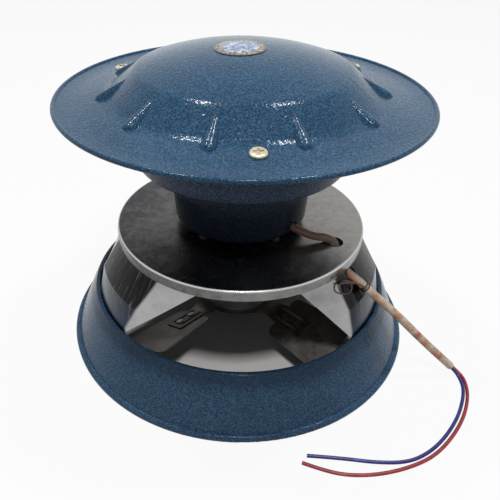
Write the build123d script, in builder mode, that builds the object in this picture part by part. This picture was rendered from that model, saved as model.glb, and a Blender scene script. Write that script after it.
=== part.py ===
from build123d import *
import os
from math import asin, cos, degrees, pi, radians, sin, tan

# Chimney draught fan. Millimetres, +Z up, origin at the centre of the skirt's underside.
# Azimuths are in degrees, counted from -Y (the front) towards +X.

# Driving dimensions
sheet = 1.0
seat_gap = 0.05
running_gap = 0.05

skirt_mouth_radius = 126.0
skirt_shoulder_width = 7.4
skirt_flare = 19.1
skirt_height = 50.0
skirt_shoulder_drop = 11.0
skirt_shoulder_fillet = 40.0
skirt_crest_width = 2.6
skirt_crest_fillet = 1.1
skirt_lip_depth = 10.0
skirt_bead_radius = 3.4
skirt_bead_flat = 0.25

plate_radius = 104.0
plate_top = 108.0
plate_rim_depth = 9.0
plate_rim_fillet = 1.5
cord_hole_radius = 7.2
cord_hole_reach = 84.5
cord_hole_azimuth = 63.7

leg_azimuths = (-59.5, 60.5, 180.5)
leg_twist = 4.0
leg_tab_height = 7.0
leg_foot_depth = 14.0
leg_knee_height = 75.0
leg_knee_radius = 119.0
leg_web_top_half_angle = 20.0
leg_web_foot_half_angle = 13.4
leg_wing_top_half_angle = 38.5
leg_wing_foot_half_angle = 14.2
leg_cord_hole_radius = 6.2
leg_cord_hole_drop = 16.1
leg_cord_hole_azimuth = 55.8

spacer_height = 5.0
drum_floor_radius = 54.0
drum_top_radius = 57.0
drum_floor_fillet = 5.0
housing_step_height = 166.0
housing_step_radius = 83.0
housing_step_slope = 2.0
housing_neck_fillet = 3.0
housing_step_fillet = 4.0
housing_flange_inner = 96.0
housing_flange_radius = 114.0
housing_flange_fillet = 4.0
housing_floor_hole = 13.0
lead_hole_radius = 4.6
lead_hole_azimuth = 50.7
lead_hole_rise = 11.2

cap_radius = 140.0
cap_top = 248.0
cap_dome_radius = 236.0
cap_dome_angle = 19.0
cap_knuckle_radius = 12.0
cap_cone_angle = 38.0
cap_brim_radius = 101.0
cap_brim_fillet = 16.0
cap_valley_inset = 13.0
cap_valley_height = 213.2
cap_valley_fillet = 60.0
cap_rim_height = 213.6
cap_bead_radius = 1.75

rib_count = 11
rib_first_azimuth = 21.5
rib_inner_reach = 84.0
rib_outer_reach = 103.0
rib_inner_radius = 3.0
rib_outer_radius = 6.0
rib_outer_rise = 3.6

badge_radius = 19.0
badge_thickness = 0.4
badge_offset = 4.3
badge_azimuth = 126.0

cap_screw_azimuth = 5.0
cap_screw_count = 3
cap_screw_reach = 109.5
cap_screw_radius = 2.4
cap_screw_head_radius = 5.9
cap_screw_head_height = 2.5
cap_screw_head_round = 1.6
cap_screw_tail = 4.0
cap_screw_slot_width = 1.5
cap_screw_slot_length = 6.4
cap_screw_slot_depth = 1.2
cap_nut_flats = 8.0
cap_nut_height = 3.2

stud_count = 4
stud_first_azimuth = 45.0
stud_reach = 40.0
stud_radius = 2.0
stud_hole_gap = 0.2
stud_nut_flats = 7.0
stud_nut_height = 3.2
stud_tail = 1.6
spacer_radius = 5.0

motor_radius = 44.0
motor_wall = 8.0
motor_shield_thickness = 3.0
motor_cup_depth = 11.0
stack_height = 25.0
stator_yoke = 11.0
stator_pole_width = 17.0
stator_tooth_clearance = 0.5
coil_thickness = 4.5
coil_overhang = 4.0
coil_gap = 0.3
rotor_radius = 20.5
rotor_overhang = 1.0
bearing_radius = 8.0
bearing_length = 10.0
bearing_boss_radius = 11.0
shaft_radius = 4.0
shaft_top_gap = 1.0
thrust_washer_radius = 7.0

impeller_height = 29.0
impeller_sheet = 1.2
impeller_blade_count = 4
impeller_first_azimuth = 46.5
impeller_pitch = 22.0
spider_radius = 39.5
spider_arm_width = 19.0
spider_arm_root = 8.0
spider_twist_start = 41.5
spider_twist_end = 52.0
spider_arm_end = 79.0
spider_rib_radius = 1.1
spider_rib_offset = 5.0
spider_rib_end_gap = 5.0
blade_inner_reach = 54.0
blade_outer_reach = 113.0
blade_inner_half_width = 21.0
blade_outer_half_width = 26.0
blade_corner = 6.0
rivet_radius = 1.6
rivet_head_radius = 2.8
rivet_head_height = 1.3
rivet_inner_reach = 59.0
rivet_spacing = 13.0
hub_flange_radius = 34.0
hub_flange_thickness = 3.0
hub_boss_radius = 12.0
hub_boss_height = 22.0
hub_screw_count = 3
hub_screw_reach = 26.0
hub_screw_radius = 2.5
hub_screw_head_radius = 4.6
hub_screw_head_height = 3.0
set_screw_radius = 2.5
set_screw_proud = 2.0

sleeve_diameter = 6.5
wire_diameter = 2.8
wire_spacing = 3.0
tie_wire_radius = 0.6
tie_ring_spacing = 2.4
tie_ring_offset = 6.5

# Heights and radii that follow from the driving dimensions
plate_underside = plate_top - sheet
plate_rim_bottom = plate_top - plate_rim_depth
skirt_shoulder_radius = skirt_mouth_radius + skirt_shoulder_width
skirt_base_radius = skirt_shoulder_radius + skirt_flare
cap_valley_radius = cap_radius - cap_valley_inset
rivet_reaches = (rivet_inner_reach, rivet_inner_reach + rivet_spacing)
drum_floor_bottom = plate_top + spacer_height
drum_floor_top = drum_floor_bottom + sheet
stack_bottom = drum_floor_top + motor_shield_thickness + motor_cup_depth
stack_top = stack_bottom + stack_height
motor_top = stack_top + motor_cup_depth + motor_shield_thickness
rotor_bottom = stack_bottom - rotor_overhang
rotor_top = stack_top + rotor_overhang
lower_bearing_top = drum_floor_top + bearing_length
upper_bearing_bottom = motor_top - bearing_length
stator_bore = rotor_radius + stator_tooth_clearance
stator_slot_radius = motor_radius - stator_yoke

# The cap's sheet seen in section: a shallow dome, a tight knuckle, a steeper cone and a nearly level brim
dome_turn = radians(cap_dome_angle)
cone_turn = radians(cap_cone_angle)
dome_centre = cap_top - sheet / 2 - cap_dome_radius
knuckle_centre = (
    (cap_dome_radius - cap_knuckle_radius) * sin(dome_turn),
    dome_centre + (cap_dome_radius - cap_knuckle_radius) * cos(dome_turn),
)
knuckle_edge = knuckle_centre[0] + cap_knuckle_radius * sin(cone_turn)
knuckle_edge_height = knuckle_centre[1] + cap_knuckle_radius * cos(cone_turn)
rim_radius = cap_radius - cap_bead_radius
screw_azimuths = [cap_screw_azimuth + number * 360 / cap_screw_count for number in range(cap_screw_count)]


def around(radius, azimuth, height=0.0):
    """Point at a radius and an azimuth about the vertical axis."""
    return (radius * sin(radians(azimuth)), -radius * cos(radians(azimuth)), height)


def upright_plane(azimuth):
    """Vertical plane through the axis: its first axis points outwards at the azimuth, its second one up."""
    return Plane(origin=(0, 0, 0), x_dir=around(1, azimuth), z_dir=around(1, azimuth - 90))


def level_plane(azimuth, height):
    """Level plane whose first axis points outwards at the azimuth."""
    return Plane(origin=(0, 0, height), x_dir=around(1, azimuth), z_dir=(0, 0, 1))


def ring_places(count, first_azimuth, radius):
    """Places on a circle about the axis, counted by azimuth."""
    return PolarLocations(radius, count, start_angle=first_azimuth - 90)


def cone_surface(radius):
    """Height of the middle surface of the cap's cone."""
    return knuckle_edge_height - (radius - knuckle_edge) * tan(cone_turn)


brim_height = cone_surface(cap_brim_radius)


def brim_surface(radius):
    """Height of the cap's middle surface between its cone and its valley, without the fillets."""
    share = (radius - cap_brim_radius) / (cap_valley_radius - cap_brim_radius)
    return brim_height + share * (cap_valley_height - brim_height)


def brim_plane(azimuth, lift):
    """Plane square to the cap's brim at a screw, lifted off the sheet's middle."""
    slope = (brim_height - cap_valley_height) / (cap_valley_radius - cap_brim_radius)
    normal = Vector(around(slope, azimuth, 1)).normalized()
    middle = Vector(around(cap_screw_reach, azimuth, brim_surface(cap_screw_reach)))
    return Plane(middle + normal * lift, x_dir=around(1, azimuth + 90), z_dir=normal)


def save(piece, name):
    """Labels a finished piece and writes its STEP file."""
    piece.part.label = name
    export_step(piece.part, f"parts/{name}.step")


os.makedirs("parts", exist_ok=True)

# Spun skirt that sits on the flue: rolled bead, steep wall, rounded shoulder, narrow crest and turned-down lip
bead_centre = skirt_base_radius - skirt_bead_radius
lip_middle = skirt_mouth_radius - sheet / 2
with BuildPart() as base_skirt:
    with BuildSketch(Plane.XZ):
        with BuildLine():
            FilletPolyline(
                (bead_centre, skirt_bead_radius),
                (skirt_shoulder_radius, skirt_height - skirt_shoulder_drop),
                (lip_middle + skirt_crest_width, skirt_height - sheet / 2),
                (lip_middle, skirt_height - sheet / 2),
                (lip_middle, skirt_height - skirt_lip_depth),
                radius=[skirt_shoulder_fillet, skirt_crest_fillet, skirt_crest_fillet],
            )
        trace(line_width=sheet)
        with Locations((bead_centre, skirt_bead_radius - skirt_bead_flat)):
            Circle(skirt_bead_radius)
        with Locations((bead_centre, -skirt_bead_radius)):
            Rectangle(4 * skirt_bead_radius, 2 * skirt_bead_radius, mode=Mode.SUBTRACT)
    revolve(axis=Axis.Z)
save(base_skirt, "base_skirt")

# Heat shield plate with a turned-down rim, a shaft hole, stud holes and the hole for the lead
plate_middle = plate_top - sheet / 2
rim_middle = plate_radius - sheet / 2
with BuildPart() as heat_shield_plate:
    with BuildSketch(Plane.XZ):
        with BuildLine():
            FilletPolyline(
                (housing_floor_hole, plate_middle),
                (rim_middle, plate_middle),
                (rim_middle, plate_rim_bottom),
                radius=plate_rim_fillet,
            )
        trace(line_width=sheet)
    revolve(axis=Axis.Z)
    with BuildSketch(Plane.XY.offset(plate_top)):
        with ring_places(stud_count, stud_first_azimuth, stud_reach):
            Circle(stud_radius + stud_hole_gap)
        with Locations(around(cord_hole_reach, cord_hole_azimuth)[:2]):
            Circle(cord_hole_radius)
    extrude(amount=-plate_rim_depth, mode=Mode.SUBTRACT)
save(heat_shield_plate, "heat_shield_plate")


def leg_section(azimuth, height, web_radius, web_angle, wing_radius, wing_angle):
    """Level cut through a leg: a curved web between two flat wings, one sheet thick."""
    fold = radians(web_angle)
    tip = radians(wing_angle)
    rows = []
    with BuildSketch(level_plane(azimuth, height)) as section:
        with BuildLine():
            for web, wing in ((web_radius, wing_radius), (web_radius - sheet, wing_radius - sheet)):
                left_tip = (wing * cos(tip), -wing * sin(tip))
                left_fold = (web * cos(fold), -web * sin(fold))
                right_fold = (web * cos(fold), web * sin(fold))
                right_tip = (wing * cos(tip), wing * sin(tip))
                Line(left_tip, left_fold)
                ThreePointArc(left_fold, (web, 0), right_fold)
                Line(right_fold, right_tip)
                rows.append((left_tip, right_tip))
            Line(rows[0][0], rows[1][0])
            Line(rows[0][1], rows[1][1])
        make_face()
    return section.sketch.face()


# Three pressed legs, welded inside the plate's rim and inside the skirt's lip, with the plate turned a little
leg_top_radius = plate_radius - sheet - seat_gap
leg_foot_radius = skirt_mouth_radius - sheet - seat_gap
knee_share = (plate_rim_bottom - leg_knee_height) / (plate_rim_bottom - skirt_height)
wing_top = Vector(around(leg_top_radius, leg_wing_top_half_angle))
wing_foot = Vector(around(leg_foot_radius, leg_wing_foot_half_angle))
wing_knee = wing_top + (wing_foot - wing_top) * knee_share
wing_knee_angle = degrees(asin(wing_knee.X / wing_knee.length))
web_knee_angle = leg_web_top_half_angle + (leg_web_foot_half_angle - leg_web_top_half_angle) * knee_share
for number, azimuth in enumerate(leg_azimuths, 1):
    top_section = leg_section(
        azimuth + leg_twist,
        plate_rim_bottom,
        leg_top_radius,
        leg_web_top_half_angle,
        leg_top_radius,
        leg_wing_top_half_angle,
    )
    knee_section = leg_section(
        azimuth + leg_twist * (1 - knee_share),
        leg_knee_height,
        leg_knee_radius,
        web_knee_angle,
        wing_knee.length,
        wing_knee_angle,
    )
    foot_section = leg_section(
        azimuth,
        skirt_height,
        leg_foot_radius,
        leg_web_foot_half_angle,
        leg_foot_radius,
        leg_wing_foot_half_angle,
    )
    with BuildPart() as support_leg:
        loft([top_section, knee_section, foot_section], ruled=True)
        extrude(top_section, amount=leg_tab_height, dir=(0, 0, 1))
        extrude(foot_section, amount=leg_foot_depth, dir=(0, 0, -1))
        if azimuth == leg_azimuths[1]:
            with BuildSketch(Plane(around(0, 0, plate_top - leg_cord_hole_drop), z_dir=around(1, leg_cord_hole_azimuth))):
                Circle(leg_cord_hole_radius)
            extrude(amount=skirt_mouth_radius, mode=Mode.SUBTRACT)
    save(support_leg, f"support_leg_{number}")

# Stepped motor housing: a tapered drum, a wide pan above it and a flange under the cap's brim
flange_gap = sheet + seat_gap
with BuildPart() as motor_housing:
    with BuildSketch(Plane.XZ):
        with BuildLine():
            FilletPolyline(
                (housing_floor_hole, drum_floor_bottom + sheet / 2),
                (drum_floor_radius, drum_floor_bottom + sheet / 2),
                (drum_top_radius, housing_step_height - housing_step_slope),
                (housing_step_radius, housing_step_height),
                (housing_flange_inner, brim_surface(housing_flange_inner) - flange_gap),
                (housing_flange_radius, brim_surface(housing_flange_radius) - flange_gap),
                radius=[
                    drum_floor_fillet,
                    housing_neck_fillet,
                    housing_step_fillet,
                    housing_flange_fillet,
                ],
            )
        trace(line_width=sheet)
    revolve(axis=Axis.Z)
    with BuildSketch(Plane.XY.offset(drum_floor_bottom)):
        with ring_places(stud_count, stud_first_azimuth, stud_reach):
            Circle(stud_radius + stud_hole_gap)
    extrude(amount=sheet, mode=Mode.SUBTRACT)
    for azimuth in screw_azimuths:
        with BuildSketch(brim_plane(azimuth, -flange_gap - sheet)):
            Circle(cap_screw_radius + stud_hole_gap)
        extrude(amount=2 * sheet, mode=Mode.SUBTRACT)
    with BuildSketch(Plane(around(0, 0, plate_top + lead_hole_rise), z_dir=around(1, lead_hole_azimuth))):
        Circle(lead_hole_radius)
    extrude(amount=drum_top_radius + sheet, mode=Mode.SUBTRACT)
save(motor_housing, "motor_housing")


def rib_body(azimuth, inset):
    """Teardrop about a sloping line: its round nose lies on the brim and its point on the cone."""
    nose = rib_outer_radius - inset
    point = rib_inner_radius - inset
    inner_height = cone_surface(rib_inner_reach) - rib_inner_radius
    outer_height = brim_surface(rib_outer_reach) + rib_outer_rise + sheet / 2 - rib_outer_radius
    start = Vector(rib_inner_reach, inner_height)
    end = Vector(rib_outer_reach, outer_height)
    along = (end - start).normalized()
    across = Vector(-along.Y, along.X)
    plane = upright_plane(azimuth)
    with BuildPart() as body:
        with BuildSketch(plane):
            with BuildLine():
                Polyline(start, start + across * point, end + across * nose)
                ThreePointArc(
                    end + across * nose,
                    end + (along + across).normalized() * nose,
                    end + along * nose,
                )
                Line(end + along * nose, start)
            make_face()
        axis_line = Axis(plane.from_local_coords(start), plane.from_local_coords(end) - plane.from_local_coords(start))
        revolve(axis=axis_line)
    return body.part


# Space under the cap's middle surface, which cuts the ribs off below the sheet; its section lies between two ribs
cap_section = upright_plane(rib_first_azimuth + 1.5 * 360 / rib_count)
with BuildPart() as under_cap:
    with BuildSketch(cap_section):
        with BuildLine():
            dome = CenterArc((0, dome_centre), cap_dome_radius, 90, -cap_dome_angle)
            knuckle = CenterArc(
                knuckle_centre, cap_knuckle_radius, 90 - cap_dome_angle, cap_dome_angle - cap_cone_angle
            )
            brim = FilletPolyline(
                knuckle @ 1,
                (cap_brim_radius, brim_height),
                (cap_valley_radius, cap_valley_height),
                radius=cap_brim_fillet,
            )
            Polyline(brim @ 1, (cap_valley_radius, housing_step_height), (0, housing_step_height), dome @ 0)
        make_face()
    revolve(axis=Axis.Z)

# Pressed rain cap: dome, knuckle, cone, brim and rolled rim, with hollow stiffening ribs across the brim's root
rib_azimuths = [rib_first_azimuth + number * 360 / rib_count for number in range(rib_count)]
with BuildPart() as rain_cap:
    with BuildSketch(cap_section):
        with BuildLine():
            CenterArc((0, dome_centre), cap_dome_radius, 90, -cap_dome_angle)
            knuckle = CenterArc(
                knuckle_centre, cap_knuckle_radius, 90 - cap_dome_angle, cap_dome_angle - cap_cone_angle
            )
            FilletPolyline(
                knuckle @ 1,
                (cap_brim_radius, brim_height),
                (cap_valley_radius, cap_valley_height),
                (rim_radius, cap_rim_height),
                radius=[cap_brim_fillet, cap_valley_fillet],
            )
        trace(line_width=sheet)
        with Locations((rim_radius, cap_rim_height)):
            Circle(cap_bead_radius)
    revolve(axis=Axis.Z)
    for azimuth in rib_azimuths:
        add(rib_body(azimuth, 0) - under_cap.part)
    for azimuth in rib_azimuths:
        add(rib_body(azimuth, sheet), mode=Mode.SUBTRACT)
    for azimuth in screw_azimuths:
        with BuildSketch(brim_plane(azimuth, -sheet)):
            Circle(cap_screw_radius + stud_hole_gap)
        extrude(amount=2 * sheet, mode=Mode.SUBTRACT)
save(rain_cap, "rain_cap")

# Round blank badge on the dome, a little off the axis
badge_angle = degrees(asin(badge_radius / (cap_dome_radius + sheet / 2)))
badge_seat = cap_dome_radius + sheet / 2 + seat_gap
with BuildPart() as top_badge:
    with BuildSketch(Plane.XZ):
        with BuildLine():
            lower = CenterArc((0, dome_centre), badge_seat, 90, -badge_angle)
            upper = CenterArc((0, dome_centre), badge_seat + badge_thickness, 90, -badge_angle)
            Line(lower @ 0, upper @ 0)
            Line(lower @ 1, upper @ 1)
        make_face()
    revolve(axis=Axis.Z)
badge_tilt = Axis((0, 0, dome_centre), around(1, badge_azimuth + 90))
top_badge.part = top_badge.part.rotate(badge_tilt, -degrees(badge_offset / cap_dome_radius))
save(top_badge, "top_badge")

# Pan-head screws square to the cap's brim and the housing's flange, with their nuts underneath
screw_seat = sheet / 2 + 2 * seat_gap
screw_nut_top = -flange_gap - sheet / 2 - seat_gap
screw_end = screw_nut_top - cap_nut_height - cap_screw_tail
with BuildPart() as cap_screws:
    for azimuth in screw_azimuths:
        with BuildSketch(brim_plane(azimuth, screw_seat)):
            Circle(cap_screw_head_radius)
        head = extrude(amount=cap_screw_head_height)
        fillet(head.faces().sort_by(Axis.Z)[-1].edges(), cap_screw_head_round)
        with BuildSketch(brim_plane(azimuth, screw_end)):
            Circle(cap_screw_radius)
        extrude(amount=screw_seat - screw_end)
        with BuildSketch(brim_plane(azimuth, screw_seat + cap_screw_head_height)):
            Rectangle(cap_screw_slot_length, cap_screw_slot_width)
            Rectangle(cap_screw_slot_width, cap_screw_slot_length)
        extrude(amount=-cap_screw_slot_depth, mode=Mode.SUBTRACT)
save(cap_screws, "cap_screws")

with BuildPart() as cap_nuts:
    for azimuth in screw_azimuths:
        with BuildSketch(brim_plane(azimuth, screw_nut_top)):
            RegularPolygon(cap_nut_flats / 2, 6, major_radius=False)
            Circle(cap_screw_radius + seat_gap, mode=Mode.SUBTRACT)
        extrude(amount=-cap_nut_height)
save(cap_nuts, "cap_nuts")

# Motor shields: two cups that clamp the stator between them
with BuildPart() as motor_lower_shield:
    with BuildSketch(Plane.XY.offset(drum_floor_top)):
        Circle(motor_radius)
    extrude(amount=motor_shield_thickness + motor_cup_depth)
    with BuildSketch(Plane.XY.offset(drum_floor_top + motor_shield_thickness)):
        Circle(motor_radius - motor_wall)
    extrude(amount=motor_cup_depth, mode=Mode.SUBTRACT)
    with BuildSketch(Plane.XY.offset(drum_floor_top)):
        Circle(bearing_boss_radius)
    extrude(amount=bearing_length)
    with BuildSketch(Plane.XY.offset(drum_floor_top)):
        Circle(bearing_radius + seat_gap)
        with ring_places(stud_count, stud_first_azimuth, stud_reach):
            Circle(stud_radius + stud_hole_gap)
    extrude(amount=motor_shield_thickness + motor_cup_depth, mode=Mode.SUBTRACT)
save(motor_lower_shield, "motor_lower_shield")

with BuildPart() as motor_upper_shield:
    with BuildSketch(Plane.XY.offset(motor_top)):
        Circle(motor_radius)
    extrude(amount=-(motor_shield_thickness + motor_cup_depth))
    with BuildSketch(Plane.XY.offset(motor_top - motor_shield_thickness)):
        Circle(motor_radius - motor_wall)
    extrude(amount=-motor_cup_depth, mode=Mode.SUBTRACT)
    with BuildSketch(Plane.XY.offset(motor_top)):
        Circle(bearing_boss_radius)
    extrude(amount=-bearing_length)
    with BuildSketch(Plane.XY.offset(motor_top)):
        Circle(bearing_radius + seat_gap)
        with ring_places(stud_count, stud_first_azimuth, stud_reach):
            Circle(stud_radius + stud_hole_gap)
    extrude(amount=-(motor_shield_thickness + motor_cup_depth), mode=Mode.SUBTRACT)
save(motor_upper_shield, "motor_upper_shield")

# Laminated stator with four poles, and a coil round each pole
with BuildPart() as motor_stator:
    with BuildSketch(Plane.XY.offset(stack_bottom)):
        Circle(motor_radius)
        Circle(stator_slot_radius, mode=Mode.SUBTRACT)
        with PolarLocations(stator_slot_radius / 2 + seat_gap, stud_count):
            Rectangle(stator_slot_radius + stator_yoke / 2, stator_pole_width)
        Circle(stator_bore, mode=Mode.SUBTRACT)
        with ring_places(stud_count, stud_first_azimuth, stud_reach):
            Circle(stud_radius + stud_hole_gap, mode=Mode.SUBTRACT)
    extrude(amount=stack_height)
save(motor_stator, "motor_stator")

coil_inner = stator_bore + coil_overhang
coil_half_width = stator_pole_width / 2 + coil_gap + coil_thickness
coil_outer = (stator_slot_radius**2 - coil_half_width**2) ** 0.5 - 2 * coil_gap
with BuildPart() as motor_coils:
    with PolarLocations((coil_inner + coil_outer) / 2, stud_count):
        with Locations((0, 0, stack_bottom + stack_height / 2)):
            Box(
                coil_outer - coil_inner,
                2 * coil_half_width,
                stack_height + 2 * (coil_gap + coil_thickness),
            )
            Box(
                coil_outer - coil_inner,
                stator_pole_width + 2 * coil_gap,
                stack_height + 2 * coil_gap,
                mode=Mode.SUBTRACT,
            )
save(motor_coils, "motor_coils")

# Sleeve bearings pressed into the shields' bosses
for name, height in (("motor_lower_bearing", drum_floor_top), ("motor_upper_bearing", upper_bearing_bottom)):
    with BuildPart() as bearing:
        with BuildSketch(Plane.XY.offset(height)):
            Circle(bearing_radius)
            Circle(shaft_radius + running_gap, mode=Mode.SUBTRACT)
        extrude(amount=bearing_length)
    save(bearing, name)

# Long studs that hold motor, housing, spacers and plate together, with nuts at both ends
stud_bottom = plate_underside - stud_nut_height - stud_tail
stud_top = motor_top + stud_nut_height + stud_tail
with BuildPart() as motor_studs:
    with BuildSketch(Plane.XY.offset(stud_bottom)):
        with ring_places(stud_count, stud_first_azimuth, stud_reach):
            Circle(stud_radius)
    extrude(amount=stud_top - stud_bottom)
save(motor_studs, "motor_studs")

for name, height in (("stud_nuts_lower", plate_underside - stud_nut_height), ("stud_nuts_upper", motor_top)):
    with BuildPart() as stud_nuts:
        with BuildSketch(Plane.XY.offset(height)):
            with ring_places(stud_count, stud_first_azimuth, stud_reach):
                RegularPolygon(stud_nut_flats / 2, 6, major_radius=False)
                Circle(stud_radius + seat_gap, mode=Mode.SUBTRACT)
        extrude(amount=stud_nut_height)
    save(stud_nuts, name)

with BuildPart() as plate_spacers:
    with BuildSketch(Plane.XY.offset(plate_top)):
        with ring_places(stud_count, stud_first_azimuth, stud_reach):
            Circle(spacer_radius)
            Circle(stud_radius + stud_hole_gap, mode=Mode.SUBTRACT)
    extrude(amount=spacer_height)
save(plate_spacers, "plate_spacers")

# Rotor, shaft and thrust washers
shaft_bottom = impeller_height - impeller_sheet / 2
with BuildPart() as motor_shaft:
    with BuildSketch(Plane.XY.offset(shaft_bottom)):
        Circle(shaft_radius)
    extrude(amount=motor_top - shaft_top_gap - shaft_bottom)
    chamfer(motor_shaft.edges().filter_by(GeomType.CIRCLE), shaft_radius / 8)
save(motor_shaft, "motor_shaft")

with BuildPart() as motor_rotor:
    with BuildSketch(Plane.XY.offset(rotor_bottom)):
        Circle(rotor_radius)
        Circle(shaft_radius + seat_gap, mode=Mode.SUBTRACT)
    extrude(amount=rotor_top - rotor_bottom)
save(motor_rotor, "motor_rotor")

washer_gap = 0.3
with BuildPart() as thrust_washers:
    for low, high in (
        (lower_bearing_top + washer_gap, rotor_bottom - seat_gap),
        (rotor_top + seat_gap, upper_bearing_bottom - washer_gap),
    ):
        with BuildSketch(Plane.XY.offset(low)):
            Circle(thrust_washer_radius)
            Circle(shaft_radius + seat_gap, mode=Mode.SUBTRACT)
        extrude(amount=high - low)
save(thrust_washers, "thrust_washers")

# Impeller hub: a turned boss with a flange that carries the spider from above
spider_top = impeller_height + impeller_sheet / 2
hub_top = spider_top + hub_boss_height
set_screw_height = (spider_top + hub_flange_thickness + hub_top) / 2
with BuildPart() as impeller_hub:
    with BuildSketch(Plane.XY.offset(spider_top)):
        Circle(hub_flange_radius)
    extrude(amount=hub_flange_thickness)
    with BuildSketch(Plane.XY.offset(spider_top)):
        Circle(hub_boss_radius)
    extrude(amount=hub_boss_height)
    with BuildSketch(Plane.XY.offset(spider_top)):
        Circle(shaft_radius + seat_gap)
        with ring_places(hub_screw_count, impeller_first_azimuth, hub_screw_reach):
            Circle(hub_screw_radius + stud_hole_gap)
    extrude(amount=hub_boss_height, mode=Mode.SUBTRACT)
    with BuildSketch(Plane(around(0, 0, set_screw_height), z_dir=around(1, impeller_first_azimuth))):
        Circle(set_screw_radius + seat_gap)
    extrude(amount=hub_boss_radius, mode=Mode.SUBTRACT)
save(impeller_hub, "impeller_hub")

set_screw_length = hub_boss_radius + set_screw_proud - shaft_radius - seat_gap
with BuildPart() as hub_set_screw:
    with BuildSketch(
        Plane(
            around(shaft_radius + seat_gap, impeller_first_azimuth, set_screw_height),
            z_dir=around(1, impeller_first_azimuth),
        )
    ):
        Circle(set_screw_radius)
    extrude(amount=set_screw_length)
save(hub_set_screw, "hub_set_screw")

hub_screw_bottom = impeller_height - impeller_sheet / 2 - hub_screw_head_height
with BuildPart() as hub_screws:
    with ring_places(hub_screw_count, impeller_first_azimuth, hub_screw_reach):
        with Locations((0, 0, spider_top + hub_flange_thickness)):
            Cylinder(
                hub_screw_head_radius,
                hub_screw_head_height,
                align=(Align.CENTER, Align.CENTER, Align.MIN),
            )
            Cylinder(
                hub_screw_radius,
                spider_top + hub_flange_thickness - hub_screw_bottom,
                align=(Align.CENTER, Align.CENTER, Align.MAX),
            )
save(hub_screws, "hub_screws")


def blade_frame(azimuth, reach, tilt):
    """Plane across a blade's radial line: first axis along the chord, second one up, third one outwards."""
    plane = Plane(
        around(reach, azimuth, impeller_height),
        x_dir=around(1, azimuth + 90),
        z_dir=around(1, azimuth),
    )
    return Plane(plane.location * Rotation(0, 0, tilt))


def blade_plane(azimuth, lift):
    """Plane of a pitched blade: first axis outwards, second one along the chord, lifted off its middle."""
    across = blade_frame(azimuth, 0, impeller_pitch)
    return Plane(
        across.origin + across.y_dir * lift,
        x_dir=around(1, azimuth),
        z_dir=across.y_dir,
    )


# Spider: a disc with twisted arms, each with two pressed ribs
blade_azimuths = [
    impeller_first_azimuth + number * 360 / impeller_blade_count for number in range(impeller_blade_count)
]
with BuildPart() as impeller_spider:
    with BuildSketch(Plane.XY.offset(impeller_height - impeller_sheet / 2)):
        Circle(spider_radius)
        Circle(shaft_radius + stud_hole_gap, mode=Mode.SUBTRACT)
        with ring_places(hub_screw_count, impeller_first_azimuth, hub_screw_reach):
            Circle(hub_screw_radius + stud_hole_gap, mode=Mode.SUBTRACT)
    extrude(amount=impeller_sheet)
    for azimuth in blade_azimuths:
        arm_sections = []
        for reach, tilt in ((spider_twist_start, 0.0), (spider_twist_end, impeller_pitch)):
            with BuildSketch(blade_frame(azimuth, reach, tilt), mode=Mode.PRIVATE) as arm_section:
                Rectangle(spider_arm_width, impeller_sheet)
            arm_sections.append(arm_section.sketch.face())
        extrude(arm_sections[0], amount=spider_arm_root, dir=around(-1, azimuth))
        loft(arm_sections, ruled=True)
        extrude(arm_sections[1], amount=spider_arm_end - spider_twist_end, dir=around(1, azimuth))
        for side in (-1, 1):
            with BuildSketch(blade_frame(azimuth, spider_twist_end, impeller_pitch)):
                with Locations((side * spider_rib_offset, impeller_sheet / 2)):
                    Circle(spider_rib_radius)
            extrude(amount=spider_arm_end - spider_twist_end - spider_rib_end_gap)
        with BuildSketch(blade_plane(azimuth, 0)):
            with Locations(*[(reach, 0) for reach in rivet_reaches]):
                Circle(rivet_radius + seat_gap)
        extrude(amount=impeller_sheet, both=True, mode=Mode.SUBTRACT)
save(impeller_spider, "impeller_spider")

# Flat pitched blades under the spider's arms
blade_top = -impeller_sheet / 2 - seat_gap
for number, azimuth in enumerate(blade_azimuths, 1):
    with BuildPart() as impeller_blade:
        with BuildSketch(blade_plane(azimuth, blade_top)):
            with BuildLine():
                Polyline(
                    (blade_inner_reach, -blade_inner_half_width),
                    (blade_outer_reach, -blade_outer_half_width),
                    (blade_outer_reach, blade_outer_half_width),
                    (blade_inner_reach, blade_inner_half_width),
                    close=True,
                )
            outline = make_face()
            fillet(outline.vertices(), blade_corner)
            with Locations(*[(reach, 0) for reach in rivet_reaches]):
                Circle(rivet_radius + seat_gap, mode=Mode.SUBTRACT)
        extrude(amount=-impeller_sheet)
    save(impeller_blade, f"impeller_blade_{number}")

# Rivets with a formed head on both sides
rivet_bottom = blade_top - impeller_sheet - seat_gap
rivet_top = impeller_sheet / 2 + seat_gap
with BuildPart() as impeller_rivets:
    for azimuth in blade_azimuths:
        for radius, low, high in (
            (rivet_radius, rivet_bottom - rivet_head_height / 2, rivet_top + rivet_head_height / 2),
            (rivet_head_radius, rivet_top, rivet_top + rivet_head_height),
            (rivet_head_radius, rivet_bottom - rivet_head_height, rivet_bottom),
        ):
            with BuildSketch(blade_plane(azimuth, low)):
                with Locations(*[(reach, 0) for reach in rivet_reaches]):
                    Circle(radius)
            extrude(amount=high - low)
save(impeller_rivets, "impeller_rivets")


def bend_radii(points):
    """Largest arc at each corner of a lead's route: 0.45 of its shorter run over the half turn's tangent."""
    radii = []
    for before, corner, after in zip(points, points[1:], points[2:]):
        run_in = Vector(corner) - Vector(before)
        run_out = Vector(after) - Vector(corner)
        turn = radians(run_in.get_angle(run_out))
        radii.append(0.45 * min(run_in.length, run_out.length) / tan(turn / 2))
    return radii


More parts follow.
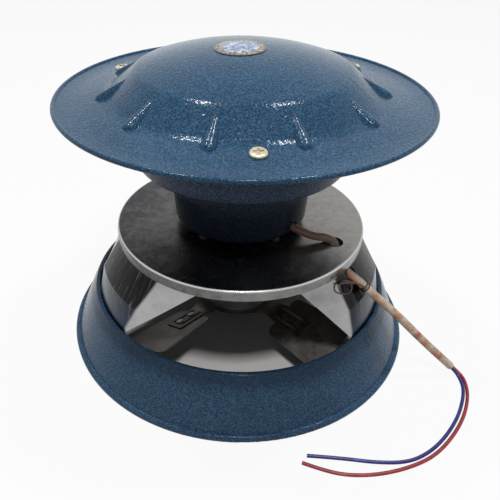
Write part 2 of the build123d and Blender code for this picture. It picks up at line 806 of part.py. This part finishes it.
def lead_tube(points, diameter):
    """Round lead along straight runs joined by tangent arcs."""
    radii = bend_radii(points)
    with BuildPart() as tube:
        with BuildLine() as route:
            FilletPolyline(*points, radius=radii)
        with BuildSketch(Plane(route.line @ 0, z_dir=route.line % 0)):
            Circle(diameter / 2)
        sweep()
    length = route.wire().length
    expected = pi * diameter**2 / 4 * length
    print("length", round(length, 1), "volume ratio", round(tube.part.volume / expected, 4))
    print("radii", [round(radius, 1) for radius in radii])
    return tube


# Glass-fibre sleeve: out of the drum, over the plate, down its hole, out through a leg and down to the floor
sleeve_points = [
    (36.9, -31.8, plate_top + 12.6),
    (46.5, -36.5, plate_top + 9.8),
    (58.5, -38.5, plate_top + 5.4),
    (69.0, -37.0, plate_top + 3.9),
    (76.5, -36.5, plate_top - 0.5),
    (79.5, -46.5, plate_top - 8.5),
    (84.0, -57.0, plate_top - 14.0),
    (93.5, -63.8, plate_top - 18.0),
    (109.0, -66.0, 76.5),
    (130.0, -68.0, 58.0),
    (155.0, -71.5, 33.5),
    (182.0, -73.0, 8.5),
]
lead_sleeve = lead_tube(sleeve_points, sleeve_diameter)
save(lead_sleeve, "lead_sleeve")

# Two insulated wires from the sleeve's end along the floor to their cut ends
sleeve_end = Vector(sleeve_points[-1])
sleeve_out = (sleeve_end - Vector(sleeve_points[-2])).normalized()
sleeve_side = sleeve_out.cross(Vector(0, 0, 1)).normalized() * wire_spacing / 2
wire_start = sleeve_end + sleeve_out * seat_gap
blue_points = [
    wire_start + sleeve_side,
    wire_start + sleeve_side + sleeve_out * 6.4,
    (189.5, -81.0, 1.7),
    (189.3, -91.0, 1.5),
    (184.8, -104.0, 1.5),
    (175.5, -121.5, 1.5),
    (161.0, -140.0, 1.5),
    (145.0, -154.5, 1.5),
    (127.0, -163.5, 1.5),
    (104.0, -164.6, 1.5),
    (79.0, -162.0, 1.5),
    (54.0, -161.0, 1.5),
]
red_points = [
    wire_start - sleeve_side,
    wire_start - sleeve_side + sleeve_out * 8.2,
    (192.6, -79.0, 1.7),
    (192.4, -91.0, 1.5),
    (188.3, -105.2, 1.5),
    (178.8, -123.6, 1.5),
    (163.8, -142.6, 1.5),
    (147.2, -157.8, 1.5),
    (128.0, -167.4, 1.5),
    (106.0, -174.0, 1.5),
    (84.0, -176.0, 1.5),
    (66.0, -173.0, 1.5),
    (50.0, -167.0, 1.5),
]
lead_wire_blue = lead_tube(blue_points, wire_diameter)
save(lead_wire_blue, "lead_wire_blue")
lead_wire_red = lead_tube(red_points, wire_diameter)
save(lead_wire_red, "lead_wire_red")

# Binding wire: two turns round the sleeve where it comes out through the leg
tie_start = Vector(sleeve_points[7])
tie_along = (Vector(sleeve_points[8]) - tie_start).normalized()
tie_ring_radius = sleeve_diameter / 2 + tie_wire_radius + seat_gap
with BuildPart() as tie_wire:
    for turn in range(2):
        place = tie_start + tie_along * (tie_ring_offset + turn * tie_ring_spacing)
        with Locations(Plane(place, z_dir=tie_along).location):
            Torus(tie_ring_radius, tie_wire_radius)
save(tie_wire, "tie_wire")
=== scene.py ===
from math import cos, pi, radians, sin

import bmesh
import bpy
from mathutils import Matrix, Vector


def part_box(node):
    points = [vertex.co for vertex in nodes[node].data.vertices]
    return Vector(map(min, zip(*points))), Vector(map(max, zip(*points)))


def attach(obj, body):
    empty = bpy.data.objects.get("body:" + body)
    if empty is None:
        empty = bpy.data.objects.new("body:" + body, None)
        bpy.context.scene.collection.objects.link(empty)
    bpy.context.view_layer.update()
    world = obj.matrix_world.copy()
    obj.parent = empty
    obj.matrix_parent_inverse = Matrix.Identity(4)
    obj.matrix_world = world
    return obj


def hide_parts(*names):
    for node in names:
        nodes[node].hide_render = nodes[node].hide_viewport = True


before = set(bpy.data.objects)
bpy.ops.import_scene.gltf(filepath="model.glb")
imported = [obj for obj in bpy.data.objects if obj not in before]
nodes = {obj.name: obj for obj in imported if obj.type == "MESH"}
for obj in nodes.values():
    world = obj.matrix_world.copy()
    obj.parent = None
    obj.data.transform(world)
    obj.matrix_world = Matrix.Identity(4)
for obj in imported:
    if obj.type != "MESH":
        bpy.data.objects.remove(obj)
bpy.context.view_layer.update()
scene = bpy.context.scene
scene.view_settings.view_transform = "Standard"

# Corners of the nodes that the materials and the floor are set out from
plate_low, plate_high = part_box("heat_shield_plate")
skirt_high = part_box("base_skirt")[1]
housing_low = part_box("motor_housing")[0]
badge_low, badge_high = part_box("top_badge")

BLACK = (0, 0, 0, 1)
WHITE = (1, 1, 1, 1)


def srgb(red, green, blue):
    """Linear colour from 0 to 255 screen values."""
    channels = []
    for value in (red / 255, green / 255, blue / 255):
        channels.append(value / 12.92 if value <= 0.04045 else ((value + 0.055) / 1.055) ** 2.4)
    return (*channels, 1.0)


# Camera: where it stands in metres and how it is turned

CAMERA_DISTANCE = 0.40608
CAMERA_HEIGHT = 0.35594
CAMERA_PITCH = radians(36.068)
CAMERA_YAW = radians(-1.788)
CAMERA_ROLL = radians(0.603)
CAMERA_LENS = 39.76
CAMERA_SENSOR = 36
CAMERA_SHIFT = (0.05, 0.01924)
CAMERA_CLIP_START = 0.01


def make_camera():
    """Camera at the photograph's viewing angle."""
    ahead = Vector((sin(CAMERA_YAW), cos(CAMERA_YAW), 0))
    level_right = Vector((cos(CAMERA_YAW), -sin(CAMERA_YAW), 0))
    level_up = ahead * sin(CAMERA_PITCH) + Vector((0, 0, cos(CAMERA_PITCH)))
    forward = ahead * cos(CAMERA_PITCH) - Vector((0, 0, sin(CAMERA_PITCH)))
    right = level_right * cos(CAMERA_ROLL) + level_up * sin(CAMERA_ROLL)
    up = level_up * cos(CAMERA_ROLL) - level_right * sin(CAMERA_ROLL)
    data = bpy.data.cameras.new("camera")
    data.sensor_width = CAMERA_SENSOR
    data.lens = CAMERA_LENS
    data.shift_x, data.shift_y = CAMERA_SHIFT
    data.clip_start = CAMERA_CLIP_START
    camera = bpy.data.objects.new("camera", data)
    camera.matrix_world = Matrix((
        (right.x, up.x, -forward.x, 0),
        (right.y, up.y, -forward.y, -CAMERA_DISTANCE),
        (right.z, up.z, -forward.z, CAMERA_HEIGHT),
        (0, 0, 0, 1),
    ))
    scene.collection.objects.link(camera)
    scene.camera = camera


make_camera()


# Shader helpers

COAT_ROUGHNESS = 0.1
# Places of a mix node's colour sockets, which share their names with its other sockets
MIX_FIRST, MIX_SECOND, MIX_RESULT = 6, 7, 2


class Look:
    """A principled material and short calls that add nodes to it."""

    def __init__(self, name, roughness=0.5, metallic=0.0, coat=0.0):
        self.material = bpy.data.materials.new(name)
        self.material.use_nodes = True
        self.tree = self.material.node_tree
        self.shader = self.tree.nodes["Principled BSDF"]
        self.shader.inputs["Roughness"].default_value = roughness
        self.shader.inputs["Metallic"].default_value = metallic
        self.shader.inputs["Coat Weight"].default_value = coat
        self.shader.inputs["Coat Roughness"].default_value = COAT_ROUGHNESS
        self.place = self.add("ShaderNodeTexCoord").outputs["Object"]

    def add(self, kind, **settings):
        node = self.tree.nodes.new(kind)
        for name, value in settings.items():
            setattr(node, name, value)
        return node

    def link(self, source, target):
        self.tree.links.new(source, target)

    def feed(self, target, value):
        """Links a socket, or sets a plain value."""
        if isinstance(value, bpy.types.NodeSocket):
            self.link(value, target)
        else:
            target.default_value = value

    def stretched(self, scale):
        """Object coordinates scaled along each axis."""
        node = self.add("ShaderNodeMapping")
        node.inputs["Scale"].default_value = scale
        self.link(self.place, node.inputs["Vector"])
        return node.outputs["Vector"]

    def noise(self, scale, detail=3.0, roughness=0.55, distortion=0.0, place=None):
        node = self.add("ShaderNodeTexNoise")
        node.inputs["Scale"].default_value = scale
        node.inputs["Detail"].default_value = detail
        node.inputs["Roughness"].default_value = roughness
        node.inputs["Distortion"].default_value = distortion
        self.link(place or self.place, node.inputs["Vector"])
        return node.outputs["Fac"]

    def cells(self, scale):
        """Distance to the nearest of scattered points."""
        node = self.add("ShaderNodeTexVoronoi", feature="F1")
        node.inputs["Scale"].default_value = scale
        self.link(self.place, node.inputs["Vector"])
        return node.outputs["Distance"]

    def ramp(self, factor, stops):
        """Colours along a value, given as pairs of position and colour."""
        node = self.add("ShaderNodeValToRGB")
        points = node.color_ramp.elements
        while len(points) < len(stops):
            points.new(0.5)
        for point, (position, colour) in zip(points, stops):
            point.position = position
            point.color = colour
        self.link(factor, node.inputs["Fac"])
        return node.outputs["Color"]

    def level(self, factor, low, high, start=0.0, end=1.0):
        """Maps a value from one range to another, clamped."""
        node = self.add("ShaderNodeMapRange")
        node.inputs["From Min"].default_value = low
        node.inputs["From Max"].default_value = high
        node.inputs["To Min"].default_value = start
        node.inputs["To Max"].default_value = end
        self.link(factor, node.inputs["Value"])
        return node.outputs["Result"]

    def maths(self, operation, *values):
        node = self.add("ShaderNodeMath", operation=operation)
        for target, value in zip(node.inputs, values):
            self.feed(target, value)
        return node.outputs[0]

    def weighted(self, *terms):
        """Sum of values, given as pairs of value and weight."""
        total = 0.0
        for value, weight in terms:
            total = self.maths("ADD", self.maths("MULTIPLY", value, weight), total)
        return total

    def mix(self, factor, first, second):
        node = self.add("ShaderNodeMix", data_type="RGBA")
        self.feed(node.inputs["Factor"], factor)
        self.feed(node.inputs[MIX_FIRST], first)
        self.feed(node.inputs[MIX_SECOND], second)
        return node.outputs[MIX_RESULT]

    def axis(self, name):
        node = self.add("ShaderNodeSeparateXYZ")
        self.link(self.place, node.inputs["Vector"])
        return node.outputs[name]

    def reach(self, centre=(0, 0)):
        """Distance from a vertical axis."""
        flat = self.add("ShaderNodeMapping")
        flat.inputs["Scale"].default_value = (1, 1, 0)
        flat.inputs["Location"].default_value = (-centre[0], -centre[1], 0)
        self.link(self.place, flat.inputs["Vector"])
        node = self.add("ShaderNodeVectorMath", operation="LENGTH")
        self.link(flat.outputs["Vector"], node.inputs[0])
        return node.outputs["Value"]

    def colour(self, value):
        self.feed(self.shader.inputs["Base Color"], value)

    def rough(self, value):
        self.feed(self.shader.inputs["Roughness"], value)

    def bump(self, height, strength, distance):
        node = self.add("ShaderNodeBump")
        node.inputs["Strength"].default_value = strength
        node.inputs["Distance"].default_value = distance
        self.link(height, node.inputs["Height"])
        self.link(node.outputs["Normal"], self.shader.inputs["Normal"])


def wear(look, *names):
    """Gives one material to several CAD nodes."""
    for name in names:
        slots = nodes[name].data.materials
        slots.clear()
        slots.append(look.material)
    return look


# Enamelled sheet

ENAMEL_ROUGHNESS = 0.13
HAMMER_STRENGTH = 0.42
HAMMER_DEPTH = 0.0007
# How far the painted shade pulls the enamel towards its deep colour
PAINTED_SHADE_SHARE = 0.6


def hammered(name, deep, body, light, shine, painted_shade=None):
    """Blue hammered stove enamel: mottled cells and dark specks, with painted shade darkening it between two
    heights.
    """
    look = Look(name, roughness=ENAMEL_ROUGHNESS)
    look.shader.inputs["Specular IOR Level"].default_value = shine
    cells = look.cells(760)
    fine = look.noise(1900, detail=2)
    broad = look.noise(16, detail=3)
    mottle = look.weighted((cells, 0.8), (fine, 0.5))
    tone = look.ramp(mottle, [(0.3, deep), (0.55, body), (0.85, light)])
    specks = look.level(look.noise(1100, detail=1), 0.6, 0.68, 0.0, 0.6)
    tone = look.mix(specks, tone, deep)
    tone = look.mix(look.level(broad, 0.4, 0.75, 0.0, 0.3), tone, deep)
    # Painted shade: between the two heights the tone is pulled towards the deep colour
    if painted_shade:
        tone = look.mix(look.level(look.axis("Z"), *painted_shade, 0.0, PAINTED_SHADE_SHARE), tone, deep)
    look.colour(tone)
    look.rough(look.level(fine, 0.3, 0.7, ENAMEL_ROUGHNESS - 0.05, ENAMEL_ROUGHNESS + 0.1))
    look.bump(look.noise(430, detail=1.5), HAMMER_STRENGTH, HAMMER_DEPTH)
    return look


# Painted shade: the housing is darkened from its pan down over the drum, as if by the cap's shadow
HOUSING_PAINTED_SHADE = (housing_low.z + 0.059, housing_low.z + 0.047)
# Painted shade: the skirt is darkened in a band just below its crest, as if by the cap's shadow
SKIRT_PAINTED_SHADE = (skirt_high.z - 0.016, skirt_high.z - 0.006)

cap_enamel = hammered(
    "cap_enamel", srgb(7, 29, 52), srgb(25, 62, 91), srgb(50, 89, 118), shine=0.16
)
housing_enamel = hammered(
    "housing_enamel", srgb(4, 8, 15), srgb(36, 52, 74), srgb(60, 78, 102), shine=0.08, painted_shade=HOUSING_PAINTED_SHADE
)
skirt_enamel = hammered(
    "skirt_enamel", srgb(14, 34, 54), srgb(43, 73, 103), srgb(69, 101, 129), shine=0.12, painted_shade=SKIRT_PAINTED_SHADE
)
wear(cap_enamel, "rain_cap")
wear(housing_enamel, "motor_housing")
wear(skirt_enamel, "base_skirt")


# Bare sheet steel

PLATE_ROUGHNESS = 0.24
PLATE_GRAIN = (40, 900, 40)
# Painted shade: the plate is darkened on its left, fading out between these two places across it
PLATE_SHADED_SIDE, PLATE_LIT_SIDE = -0.1, 0.1
PLATE_EDGE_INNER, PLATE_EDGE_OUTER = plate_high.x - 0.0016, plate_high.x - 0.0008
PLATE_EDGE_LOW, PLATE_EDGE_HIGH = plate_high.z - 0.0017, plate_high.z - 0.001


def plate_steel():
    """Sheet steel: smudges, mottled patina, faint rolling grain, painted edge highlight, painted shade on
    the left.
    """
    look = Look("plate_steel", roughness=PLATE_ROUGHNESS, metallic=1.0)
    # Painted shade darkening the left side of the plate
    painted_left_shade = look.level(look.axis("X"), PLATE_SHADED_SIDE, PLATE_LIT_SIDE)
    smudges = look.noise(14, detail=5, roughness=0.65)
    mottle = look.noise(120, detail=5, roughness=0.72)
    streaks = look.noise(1, detail=4, place=look.stretched(PLATE_GRAIN))
    spots = look.noise(160, detail=4)
    patina = look.weighted((smudges, 0.42), (mottle, 0.5), (streaks, 0.08))
    cover = look.weighted((patina, 0.7), (painted_left_shade, 0.35))
    tone = look.ramp(cover, [(0.34, srgb(58, 59, 62)), (0.68, srgb(142, 140, 137))])
    # Painted highlight: a pale ring along the plate's top outer edge
    outer = look.level(look.reach(), PLATE_EDGE_INNER, PLATE_EDGE_OUTER)
    upper = look.level(look.axis("Z"), PLATE_EDGE_LOW, PLATE_EDGE_HIGH)
    look.colour(look.mix(look.maths("MULTIPLY", outer, upper), tone, srgb(190, 190, 188)))
    haze = look.weighted((smudges, 1.0), (spots, 0.3))
    look.rough(look.level(haze, 0.4, 0.9, PLATE_ROUGHNESS - 0.1, PLATE_ROUGHNESS + 0.16))
    look.bump(streaks, 0.06, 0.0003)
    return look


LEG_COUNT = 3
LEG_SPACING = 2 * pi / LEG_COUNT
LEG_FOOT_HEIGHT, LEG_TOP_HEIGHT = skirt_high.z, plate_low.z
LEG_FOOT_AZIMUTH, LEG_TOP_AZIMUTH = radians(60.5), radians(64.5)
LEG_FOOT_FOLD, LEG_TOP_FOLD = radians(13.4), radians(20.0)
LEG_WEB_END, LEG_WING_START = radians(-1.0), radians(0.4)
# Heights where the painted blue reflection of the skirt on the web's foot is full and where it is gone
LEG_REFLECTION_FULL, LEG_REFLECTION_GONE = LEG_FOOT_HEIGHT + 0.016, LEG_FOOT_HEIGHT + 0.038
# Scales of the web's streaks, which are painted reflections and also bump the steel as scratches
STREAKS_ACROSS, STREAKS_ALONG = 60.0, 14.0


def leg_steel():
    """Pressed leg: bright lit flared wings, a web in painted shade with painted reflection streaks and a
    painted blue reflection at its foot.
    """
    look = Look("leg_steel", roughness=0.22, metallic=1.0)
    height = look.axis("Z")
    turn = look.maths("ARCTAN2", look.axis("X"), look.maths("MULTIPLY", look.axis("Y"), -1.0))
    middle = look.level(height, LEG_FOOT_HEIGHT, LEG_TOP_HEIGHT, LEG_FOOT_AZIMUTH, LEG_TOP_AZIMUTH)
    from_leg = look.maths("WRAP", look.maths("SUBTRACT", turn, middle), LEG_SPACING / 2, -LEG_SPACING / 2)
    fold = look.level(height, LEG_FOOT_HEIGHT, LEG_TOP_HEIGHT, LEG_FOOT_FOLD, LEG_TOP_FOLD)
    past_fold = look.maths("SUBTRACT", look.maths("ABSOLUTE", from_leg), fold)
    web = look.level(past_fold, LEG_WEB_END, LEG_WING_START, 1.0, 0.0)
    lines = look.add("ShaderNodeCombineXYZ")
    look.link(look.maths("MULTIPLY", turn, STREAKS_ACROSS), lines.inputs[0])
    look.link(look.maths("MULTIPLY", height, STREAKS_ALONG), lines.inputs[2])
    streaks = look.noise(1.6, detail=5, roughness=0.7, place=lines.outputs[0])
    smudges = look.noise(18, detail=5, roughness=0.65)
    # Painted light and shade: the wings take a lit tone and the web a dark shaded tone, whose bright streaks
    # are painted reflections
    lit_wing_tone = look.ramp(smudges, [(0.3, srgb(126, 126, 128)), (0.7, srgb(176, 176, 176))])
    shaded_web_tone = look.ramp(streaks, [
        (0.3, srgb(14, 14, 16)), (0.5, srgb(32, 31, 32)), (0.59, srgb(40, 38, 38)),
        (0.73, srgb(190, 186, 182)),
    ])
    # Painted reflection: the blue of the skirt mirrored in the foot of the web
    foot_reflection_tone = look.ramp(look.noise(1100, detail=2), [
        (0.38, srgb(20, 30, 44)), (0.6, srgb(32, 50, 72)), (0.75, srgb(76, 98, 120)),
    ])
    uneven_height = look.weighted((height, 1.0), (smudges, 0.012))
    painted_foot_reflection = look.level(uneven_height, LEG_REFLECTION_FULL, LEG_REFLECTION_GONE, 0.9, 0.0)
    look.colour(look.mix(web, lit_wing_tone, look.mix(painted_foot_reflection, shaded_web_tone, foot_reflection_tone)))
    look.rough(look.level(smudges, 0.3, 0.75, 0.14, 0.32))
    look.bump(streaks, 0.1, 0.0003)
    return look


wear(plate_steel(), "heat_shield_plate")
wear(leg_steel(), *[f"support_leg_{number + 1}" for number in range(LEG_COUNT)])


# Impeller, motor and fasteners

BLADE_COUNT = 4


def plain_metal(name, dark, pale, roughness, metallic=1.0, scale=300):
    """Metal with a little grain and patches."""
    look = Look(name, roughness=roughness, metallic=metallic)
    patches = look.noise(60, detail=4)
    grain = look.noise(scale, detail=3)
    blend = look.weighted((patches, 0.6), (grain, 0.4))
    look.colour(look.ramp(blend, [(0.32, dark), (0.68, pale)]))
    look.rough(look.level(grain, 0.3, 0.7, roughness - 0.08, roughness + 0.1))
    look.bump(grain, 0.12, 0.0002)
    return look


wear(
    plain_metal("spider_steel", srgb(62, 58, 56), srgb(104, 98, 94), 0.42, metallic=0.6),
    "impeller_spider",
)
wear(
    plain_metal("blade_steel", srgb(74, 70, 68), srgb(122, 116, 112), 0.45, metallic=0.6),
    *[f"impeller_blade_{number + 1}" for number in range(BLADE_COUNT)],
)
wear(
    plain_metal("rivet_steel", srgb(110, 108, 106), srgb(160, 158, 154), 0.35),
    "impeller_rivets", "hub_screws", "hub_set_screw",
)
wear(
    plain_metal("cast_alloy", srgb(120, 120, 120), srgb(170, 170, 168), 0.45, scale=700),
    "impeller_hub", "motor_lower_shield", "motor_upper_shield",
)
wear(
    plain_metal("plain_steel", srgb(140, 138, 134), srgb(190, 188, 184), 0.3),
    "motor_shaft", "motor_studs", "stud_nuts_lower", "stud_nuts_upper", "plate_spacers", "thrust_washers",
)
wear(
    plain_metal("lamination_steel", srgb(80, 80, 84), srgb(130, 130, 134), 0.45),
    "motor_stator", "motor_rotor",
)
wear(
    plain_metal("copper_winding", srgb(150, 80, 40), srgb(196, 116, 66), 0.35),
    "motor_coils",
)
wear(
    plain_metal("bearing_bronze", srgb(140, 104, 56), srgb(182, 142, 86), 0.4),
    "motor_lower_bearing", "motor_upper_bearing",
)
wear(
    plain_metal("yellow_zinc", srgb(176, 164, 132), srgb(228, 220, 198), 0.24, scale=500),
    "cap_screws", "cap_nuts",
)
binding_wire = wear(
    plain_metal("binding_wire", srgb(60, 48, 44), srgb(110, 92, 84), 0.4),
    "tie_wire",
)


# Badge on the cap's top

BADGE_CENTRE = (badge_low + badge_high) / 2
BADGE_RADIUS = (badge_high.x - badge_low.x) / 2


def badge():
    """Blank round badge: a dark border with gold flecks round a mottled blue and silver field."""
    look = Look("badge_print", roughness=0.25, metallic=0.5, coat=0.3)
    rings = look.maths("DIVIDE", look.reach(BADGE_CENTRE), BADGE_RADIUS)
    flecks = look.ramp(look.noise(700, detail=2), [
        (0.44, srgb(30, 26, 24)), (0.55, srgb(140, 116, 70)), (0.68, srgb(222, 202, 150)),
    ])
    field = look.ramp(look.noise(260, detail=3, distortion=0.8), [
        (0.36, srgb(44, 74, 128)), (0.5, srgb(110, 138, 178)), (0.62, srgb(206, 212, 218)),
    ])
    border = look.ramp(rings, [(0.7, BLACK), (0.74, WHITE)])
    edge = look.ramp(rings, [(0.9, BLACK), (0.94, WHITE)])
    look.colour(look.mix(edge, look.mix(border, field, flecks), srgb(40, 40, 40)))
    look.bump(look.noise(900, detail=2), 0.1, 0.0002)
    return look


wear(badge(), "top_badge")


# Leads: routes in millimetres, diameters and lengths in metres

SLEEVE_DIAMETER = 0.0065
LEAD_DIAMETER = 0.0028
TIE_WIRE_DIAMETER = 0.0011
PLATE_TOP = 108.0

sleeve_points = [
    (36.9, -31.8, PLATE_TOP + 12.6),
    (46.5, -36.5, PLATE_TOP + 9.8),
    (58.5, -38.5, PLATE_TOP + 5.4),
    (69.0, -37.0, PLATE_TOP + 3.9),
    (76.5, -36.5, PLATE_TOP - 0.5),
    (79.5, -46.5, PLATE_TOP - 8.5),
    (84.0, -57.0, PLATE_TOP - 14.0),
    (93.5, -63.8, PLATE_TOP - 18.0),
    (109.0, -66.0, 76.5),
    (130.0, -68.0, 58.0),
    (155.0, -71.5, 33.5),
    (182.0, -73.0, 8.5),
]
blue_points = [
    (181.95, -74.5, 8.47),
    (186.65, -74.8, 4.12),
    (189.5, -81.0, 1.7),
    (189.3, -91.0, 1.5),
    (184.8, -104.0, 1.5),
    (175.5, -121.5, 1.5),
    (161.0, -140.0, 1.5),
    (145.0, -154.5, 1.5),
    (127.0, -163.5, 1.5),
    (104.0, -164.6, 1.5),
    (79.0, -162.0, 1.5),
    (54.0, -161.0, 1.5),
]
red_points = [
    (182.12, -71.5, 8.47),
    (188.13, -71.84, 2.9),
    (192.6, -79.0, 1.7),
    (192.4, -91.0, 1.5),
    (188.3, -105.2, 1.5),
    (178.8, -123.6, 1.5),
    (163.8, -142.6, 1.5),
    (147.2, -157.8, 1.5),
    (128.0, -167.4, 1.5),
    (106.0, -174.0, 1.5),
    (84.0, -176.0, 1.5),
    (66.0, -173.0, 1.5),
    (50.0, -167.0, 1.5),
]
# Loose end of the binding wire, curled once in front of the leg
tie_end_points = [
    (97.5, -68.2, 87.6),
    (93.0, -70.0, 91.4),
    (86.5, -70.5, 93.6),
    (79.8, -73.0, 97.0),
    (75.4, -77.6, 95.6),
    (77.0, -81.0, 91.2),
    (82.4, -79.4, 88.0),
    (87.4, -74.4, 89.0),
    (86.2, -71.6, 94.0),
    (80.6, -74.8, 96.0),
    (77.0, -77.8, 97.0),
]


def at(place):
    """A route point in metres."""
    return tuple(value / 1000 for value in place)


def lead(name, points, diameter, look):
    """A round lead on one smooth curve with these control points."""
    curve = bpy.data.curves.new(name, "CURVE")
    curve.dimensions = "3D"
    spline = curve.splines.new("NURBS")
    spline.points.add(len(points) - 1)
    for point, place in zip(spline.points, points):
        point.co = (*at(place), 1)
    spline.order_u = 3
    spline.use_endpoint_u = True
    spline.resolution_u = 12
    curve.bevel_depth = diameter / 2
    curve.bevel_resolution = 5
    curve.use_fill_caps = True
    curve.materials.append(look.material)
    piece = bpy.data.objects.new(name, curve)
    scene.collection.objects.link(piece)
    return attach(piece, "stand")


DRUM_END_DARK_START, DRUM_END_DARK_END = 0.07, 0.11


def sleeving():
    """Varnished glass-fibre sleeving: pale braid with pink and brown stains, darker and redder towards the
    drum end.
    """
    look = Look("glass_fibre_sleeving", roughness=0.5)
    stains = look.noise(70, detail=4, roughness=0.6, distortion=0.6)
    dirt = look.noise(260, detail=3)
    tone = look.ramp(stains, [
        (0.36, srgb(216, 202, 184)), (0.5, srgb(196, 176, 152)), (0.6, srgb(190, 128, 100)),
        (0.7, srgb(160, 86, 66)),
    ])
    tone = look.mix(look.level(dirt, 0.5, 0.75, 0.0, 0.4), tone, srgb(120, 100, 84))
    uneven_place = look.weighted((look.axis("X"), 1.0), (stains, 0.03))
    # Darker reddish brown towards the drum end of the sleeve
    drum_end_darkening = look.level(uneven_place, DRUM_END_DARK_START, DRUM_END_DARK_END, 0.75, 0.0)
    look.colour(look.mix(drum_end_darkening, tone, srgb(112, 58, 46)))
    look.bump(look.cells(900), 0.5, 0.0006)
    return look


def insulation(name, dark, pale):
    """Coloured wire insulation with faint scuffs."""
    look = Look(name, roughness=0.36)
    scuffs = look.noise(180, detail=4)
    look.colour(look.ramp(scuffs, [(0.35, dark), (0.7, pale)]))
    look.bump(look.noise(1400, detail=2), 0.15, 0.0002)
    return look


blue_insulation = insulation("blue_insulation", srgb(16, 18, 96), srgb(36, 40, 140))
red_insulation = insulation("red_insulation", srgb(132, 24, 36), srgb(176, 48, 60))
loose_end = lead("tie_wire_end", tie_end_points, TIE_WIRE_DIAMETER, binding_wire)
sleeve = lead("lead_sleeve_braid", sleeve_points, SLEEVE_DIAMETER, sleeving())
blue_lead = lead("lead_blue", blue_points, LEAD_DIAMETER, blue_insulation)
red_lead = lead("lead_red", red_points, LEAD_DIAMETER, red_insulation)
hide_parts("lead_sleeve")
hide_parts("lead_wire_blue")
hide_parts("lead_wire_red")


# Floor, lamps and background

FLOOR_REACH = 6
FLOOR_INSIDE = (0.8, 0.78, 0.76, 1)
FLOOR_OUTSIDE = (0.7, 0.7, 0.7, 1)
FLOOR_GLOW = 0.92
SKIRT_FOOT_INNER, SKIRT_FOOT_OUTER = skirt_high.x - 0.005, skirt_high.x - 0.0025
AMBIENT, BACKDROP = 0.11, 1.0
LAMPS = [
    # name, place, target, size, power
    ("left", (-0.45, 0.25, 1.55), (0, 0, 0.15), 0.17, 9),
    ("right", (0.45, 0.25, 1.55), (0, 0, 0.15), 0.17, 9),
    ("front", (0.1, -0.75, 1.75), (0, 0, 0.1), 0.24, 14),
]


def looking_ray(tree):
    """One for camera, glossy and transmission rays, nought for the rest."""
    path = tree.nodes.new("ShaderNodeLightPath")
    total = path.outputs["Is Camera Ray"]
    for name in ("Is Glossy Ray", "Is Transmission Ray"):
        larger = tree.nodes.new("ShaderNodeMath")
        larger.operation = "MAXIMUM"
        tree.links.new(total, larger.inputs[0])
        tree.links.new(path.outputs[name], larger.inputs[1])
        total = larger.outputs[0]
    return total


def floor_material():
    """Matt pale floor that looks white outside the skirt and keeps a share of its shading."""
    material = bpy.data.materials.new("floor_white")
    material.use_nodes = True
    tree = material.node_tree
    tree.nodes.clear()
    place = tree.nodes.new("ShaderNodeTexCoord")
    reach = tree.nodes.new("ShaderNodeVectorMath")
    reach.operation = "LENGTH"
    tone = tree.nodes.new("ShaderNodeValToRGB")
    inside, outside = tone.color_ramp.elements
    inside.position, inside.color = SKIRT_FOOT_INNER, FLOOR_INSIDE
    outside.position, outside.color = SKIRT_FOOT_OUTER, FLOOR_OUTSIDE
    matt = tree.nodes.new("ShaderNodeBsdfDiffuse")
    glow = tree.nodes.new("ShaderNodeEmission")
    glow.inputs["Color"].default_value = WHITE
    glow_share = tree.nodes.new("ShaderNodeMapRange")
    glow_share.inputs["From Min"].default_value = SKIRT_FOOT_INNER
    glow_share.inputs["From Max"].default_value = SKIRT_FOOT_OUTER
    glow_share.inputs["To Max"].default_value = FLOOR_GLOW
    seen_share = tree.nodes.new("ShaderNodeMath")
    seen_share.operation = "MULTIPLY"
    blend = tree.nodes.new("ShaderNodeMixShader")
    output = tree.nodes.new("ShaderNodeOutputMaterial")
    for source, target in (
        (place.outputs["Object"], reach.inputs[0]),
        (reach.outputs["Value"], tone.inputs["Fac"]),
        (reach.outputs["Value"], glow_share.inputs["Value"]),
        (tone.outputs["Color"], matt.inputs["Color"]),
        (looking_ray(tree), seen_share.inputs[0]),
        (glow_share.outputs["Result"], seen_share.inputs[1]),
        (seen_share.outputs[0], blend.inputs["Fac"]),
        (matt.outputs[0], blend.inputs[1]),
        (glow.outputs[0], blend.inputs[2]),
        (blend.outputs[0], output.inputs["Surface"]),
    ):
        tree.links.new(source, target)
    return material


def flat_floor():
    mesh = bpy.data.meshes.new("floor")
    shape = bmesh.new()
    bmesh.ops.create_grid(shape, x_segments=1, y_segments=1, size=FLOOR_REACH)
    shape.to_mesh(mesh)
    shape.free()
    mesh.materials.append(floor_material())
    floor = bpy.data.objects.new("floor", mesh)
    scene.collection.objects.link(floor)


def area_light(name, place, target, size, power):
    data = bpy.data.lights.new(name, "AREA")
    data.shape = "SQUARE"
    data.size = size
    data.energy = power
    lamp = bpy.data.objects.new(name, data)
    lamp.location = place
    lamp.rotation_euler = (Vector(target) - Vector(place)).to_track_quat("-Z", "Y").to_euler()
    scene.collection.objects.link(lamp)


def studio_world():
    """White to look at, and a faint even light on the object."""
    world = bpy.data.worlds.new("studio")
    scene.world = world
    world.use_nodes = True
    tree = world.node_tree
    tree.nodes.clear()
    blend = tree.nodes.new("ShaderNodeMixShader")
    output = tree.nodes.new("ShaderNodeOutputWorld")
    tree.links.new(looking_ray(tree), blend.inputs["Fac"])
    for number, strength in ((1, AMBIENT), (2, BACKDROP)):
        background = tree.nodes.new("ShaderNodeBackground")
        background.inputs["Color"].default_value = WHITE
        background.inputs["Strength"].default_value = strength
        tree.links.new(background.outputs[0], blend.inputs[number])
    tree.links.new(blend.outputs[0], output.inputs["Surface"])


flat_floor()
for lamp_values in LAMPS:
    area_light(*lamp_values)
studio_world()
